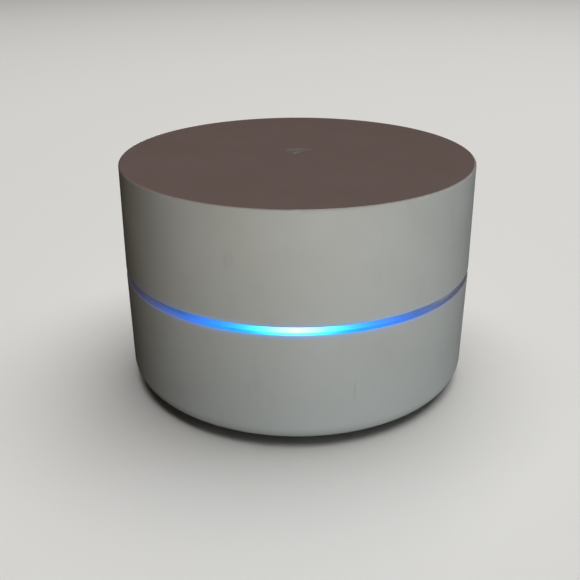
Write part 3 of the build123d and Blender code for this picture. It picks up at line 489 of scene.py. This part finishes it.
# ---------------------------------------------------------------- metals
def metal(name, light, dark, rough, grain, depth, stretch=(1, 1, 1)):
    """Bare or plated metal: a grained skin, patchy tone, and marks that polish or dull it."""
    g = Graph(name)
    skin = g.noise(grain, detail=3, roughness=0.6, stretch=stretch)
    patch = g.range(g.noise(5 * MM, detail=4), 0.3, 0.7)
    handled = g.range(g.noise(2 * MM, detail=5, roughness=0.65), 0.55, 0.75, 0.0, 0.08)
    g.set(
        Base_Color=g.mix(g.math("MULTIPLY", g.math("ADD", skin, patch), 0.5), dark, light),
        Metallic=1.0,
        Roughness=g.math("ADD", g.range(skin, 0.3, 0.7, *rough), handled),
        Normal=g.bump(skin, depth),
    )
    return g


def heat_sink_metal():
    light, dark = rgb(200, 201, 204), rgb(184, 186, 190)
    return metal("heat_sink_metal", light, dark, (0.42, 0.58), 0.18 * MM, 0.03 * MM)


def shield_metal():
    brushed = (1, 0.08, 1)
    light, dark = rgb(214, 214, 210), rgb(201, 201, 198)
    return metal("shield_metal", light, dark, (0.2, 0.36), 0.12 * MM, 0.006 * MM, brushed)


def capacitor_can():
    drawn = (1, 1, 0.1)
    light, dark = rgb(224, 225, 228), rgb(213, 214, 217)
    return metal("capacitor_can", light, dark, (0.16, 0.3), 0.15 * MM, 0.005 * MM, drawn)


def screw_steel():
    return metal("screw_steel", rgb(180, 180, 184), rgb(166, 166, 166), (0.24, 0.38), 0.2 * MM, 0.008 * MM)


def contact_gold():
    rolled = (1, 0.2, 1)
    light, dark = rgb(235, 206, 140), rgb(226, 196, 128)
    return metal("contact_gold", light, dark, (0.14, 0.26), 0.1 * MM, 0.004 * MM, rolled)


def antenna_metal():
    rolled = (1, 1, 0.1)
    light, dark = rgb(220, 195, 156), rgb(206, 180, 140)
    return metal("antenna_metal", light, dark, (0.22, 0.36), 0.15 * MM, 0.006 * MM, rolled)


MATERIALS = {
    maker.__name__: maker
    for maker in (
        housing_plastic, base_plastic, foot_rubber, light_guide, button_plastic, board_laminate,
        flex_laminate, chip_plastic, component_ceramic, capacitor_can, connector_plastic, socket_plastic,
        lamp_plastic, heat_sink_metal, shield_metal, screw_steel, contact_gold, antenna_metal,
        carrier_plastic, cable_jacket, thermal_pad,
    )
}


# ---------------------------------------------------------------- pieces
TURNED = {
    "upper_housing": "upper_shell",
    "lower_housing": "lower_shell",
    "light_band": "light_guide_ring",
    "base_plate": "base_cover",
    "foot_tread": "foot_ring",
}
TURNED_WITHIN = math.cos(math.radians(2))
TINY = 1e-9


def corner_array(mesh, items, name, width):
    values = np.empty(len(items) * width, np.float32)
    items.foreach_get(name, values)
    return values.reshape(-1, width)


def turned_normals(mesh):
    """The mesh's corner normals, with those of round walls pointed exactly away from the axis.

    A turned wall has a seam where it closes on itself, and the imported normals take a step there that
    shows as an upright line. A normal that is already within two degrees of the radius belongs to such
    a wall, and is straightened.
    """
    normals = corner_array(mesh, mesh.corner_normals, "vector", 3)
    corners = np.empty(len(mesh.loops), np.int32)
    mesh.loops.foreach_get("vertex_index", corners)
    radial = corner_array(mesh, mesh.vertices, "co", 3)[corners, :2]
    radial /= np.maximum(np.linalg.norm(radial, axis=1, keepdims=True), TINY)
    level = np.linalg.norm(normals[:, :2], axis=1, keepdims=True)
    facing = np.sum(normals[:, :2] * radial, axis=1, keepdims=True)
    straight = np.sign(facing) * level * radial
    normals[:, :2] = np.where(np.abs(facing) > level * TURNED_WITHIN, straight, normals[:, :2])
    return normals


def stand_in(name, node):
    """A copy of a CAD node that is shown in its place."""
    source = frame["nodes"][node]
    mesh = source.data.copy()
    mesh.name = name
    piece = bpy.data.objects.new(name, mesh)
    bpy.context.scene.collection.objects.link(piece)
    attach(piece, source["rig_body"])
    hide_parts(node)
    return piece


def smooth_turned(name, node):
    """A turned piece, shaded without its seam."""
    piece = stand_in(name, node)
    piece.data.normals_split_custom_set(turned_normals(piece.data).tolist())
    return piece


def snap_dome(name, node):
    """The dome under the reset plunger, shown as a copy with its own mesh."""
    piece = stand_in(name, node)
    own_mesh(piece)
    return piece


def dress():
    """Gives each CAD node and each new piece the material of its slot, and lists what is shown."""
    made = {slot: MATERIALS[slot]().material for slot in sorted(set(SLOTS.values()))}
    pieces = [(smooth_turned(name, node), node) for name, node in TURNED.items()]
    pieces.append((snap_dome("snap_dome", "reset_switch_dome"), "reset_switch_dome"))
    pieces += [(frame["nodes"][node], node) for node in SLOTS]
    for piece, node in pieces:
        piece.data.materials.clear()
        piece.data.materials.append(made[SLOTS[node]])
    return [piece for piece, _ in pieces]


# ---------------------------------------------------------------- camera and studio
CAMERA_PLACE = Vector((0.0, -0.2375, 0.13025))
CAMERA_PITCH, CAMERA_TURN, CAMERA_ROLL = 24.06, 0.54, -0.2  # degrees down, to the left, anticlockwise
SENSOR_WIDTH, FOCAL_LENGTH = 36.0, 50.03  # millimetres
NEAREST = 0.01

WORLD_COLOUR, WORLD_STRENGTH = (1.0, 0.80, 0.58, 1.0), 0.012
PALE, WARM, ROSY = (0.87, 0.96, 1.0), (1.0, 0.80, 0.58), (1.0, 0.67, 0.62)
CREAM, WHITE = (1.0, 1.0, 0.96), (1.0, 1.0, 1.0)
LOW_REACH = 1.1  # from the axis to the key and rear lights
WASH_HEIGHT = 0.062


def camera():
    """A close view of the front, looking down on the top."""
    pitch, turn, roll = (math.radians(angle) for angle in (CAMERA_PITCH, CAMERA_TURN, CAMERA_ROLL))
    data = bpy.data.cameras.new("camera")
    data.sensor_width = SENSOR_WIDTH
    data.lens = FOCAL_LENGTH
    data.clip_start = NEAREST
    obj = bpy.data.objects.new("camera", data)
    facing = Matrix.Rotation(turn, 4, "Z") @ Matrix.Rotation(math.pi / 2 - pitch, 4, "X")
    obj.matrix_world = Matrix.Translation(CAMERA_PLACE) @ facing @ Matrix.Rotation(roll, 4, "Z")
    bpy.context.scene.collection.objects.link(obj)
    bpy.context.scene.camera = obj


def area_light(name, place, target, size, power, colour, receivers):
    """A soft rectangular light that falls only on that collection."""
    data = bpy.data.lights.new(name, "AREA")
    data.shape = "RECTANGLE"
    data.size, data.size_y = size
    data.energy = power
    data.color = colour
    obj = bpy.data.objects.new(name, data)
    obj.location = place
    obj.rotation_euler = (Vector(target) - Vector(place)).to_track_quat("-Z", "Y").to_euler()
    obj.visible_camera = False
    bpy.context.scene.collection.objects.link(obj)
    obj.light_linking.receiver_collection = receivers


def group(name, objects):
    """A collection that lights can be linked to. It needs no place in the scene."""
    collection = bpy.data.collections.new(name)
    for obj in objects:
        collection.objects.link(obj)
    return collection


def backdrop():
    """A pale round floor that sweeps up into a wall, so that every view has it behind the object."""
    floor_radius, sweep, wall_top = 1.8, 1.2, 3.2
    steps, sides = 12, 96
    profile = [(floor_radius / 2, 0.0)]
    for step in range(steps + 1):
        angle = math.pi / 2 * step / steps
        profile.append((floor_radius + sweep * math.sin(angle), sweep * (1 - math.cos(angle))))
    profile.append((floor_radius + sweep, wall_top))
    points, faces = [], []
    for radius, height in profile:
        for side in range(sides):
            around = 2 * math.pi * side / sides
            points.append((radius * math.cos(around), radius * math.sin(around), height))
    for row in range(len(profile) - 1):
        for side in range(sides):
            here, there = row * sides + side, row * sides + (side + 1) % sides
            faces.append((here, here + sides, there + sides, there))
    faces.append(tuple(range(sides)))
    mesh = bpy.data.meshes.new("backdrop")
    mesh.from_pydata(points, [], faces)
    mesh.shade_smooth()
    g = Graph("backdrop")
    g.set(Base_Color=rgb(226, 225, 222), Roughness=0.9)
    mesh.materials.append(g.material)
    obj = bpy.data.objects.new("backdrop", mesh)
    bpy.context.scene.collection.objects.link(obj)
    obj.visible_diffuse = False
    obj.visible_glossy = False
    return obj


def polar(turn, reach, height):
    """A place round the object. Turn is in degrees from the front towards +X."""
    angle = math.radians(turn)
    return (reach * math.sin(angle), -reach * math.cos(angle), height)


def studio(pieces):
    """Low soft lights in front and behind, warm ones overhead and close to the wall, and a dim world."""
    scene = bpy.context.scene
    scene.view_settings.view_transform = "Standard"
    world = bpy.data.worlds.new("world")
    world.use_nodes = True
    background = world.node_tree.nodes["Background"].inputs
    background["Color"].default_value = WORLD_COLOUR
    background["Strength"].default_value = WORLD_STRENGTH
    scene.world = world

    shown = group("lit_pieces", pieces)
    stage = group("lit_stage", [backdrop()])
    middle = (0, 0, TOP_Z / 2)
    in_front, behind = polar(25, LOW_REACH, 0.13), polar(188, LOW_REACH, TOP_Z / 2)
    by_the_wall, wall = (0, -0.1, WASH_HEIGHT), (0, 0, WASH_HEIGHT)
    # Each light's name, place, target, size in metres, power in watts, colour and what it falls on.
    area_light("key", in_front, middle, (0.9, 0.24), 4.8, PALE, shown)
    area_light("wash", by_the_wall, wall, (0.3, 0.012), 0.0125, WARM, shown)
    area_light("rear", behind, middle, (0.3, 0.06), 5.5, CREAM, shown)
    area_light("overhead", (0, 0.1, 1.3), middle, (0.5, 0.5), 2.0, ROSY, shown)
    area_light("stage_light", (0.3, 0.3, 2.2), (0, 0, 0), (2.4, 2.4), 60.0, WHITE, stage)


camera()
studio(dress())
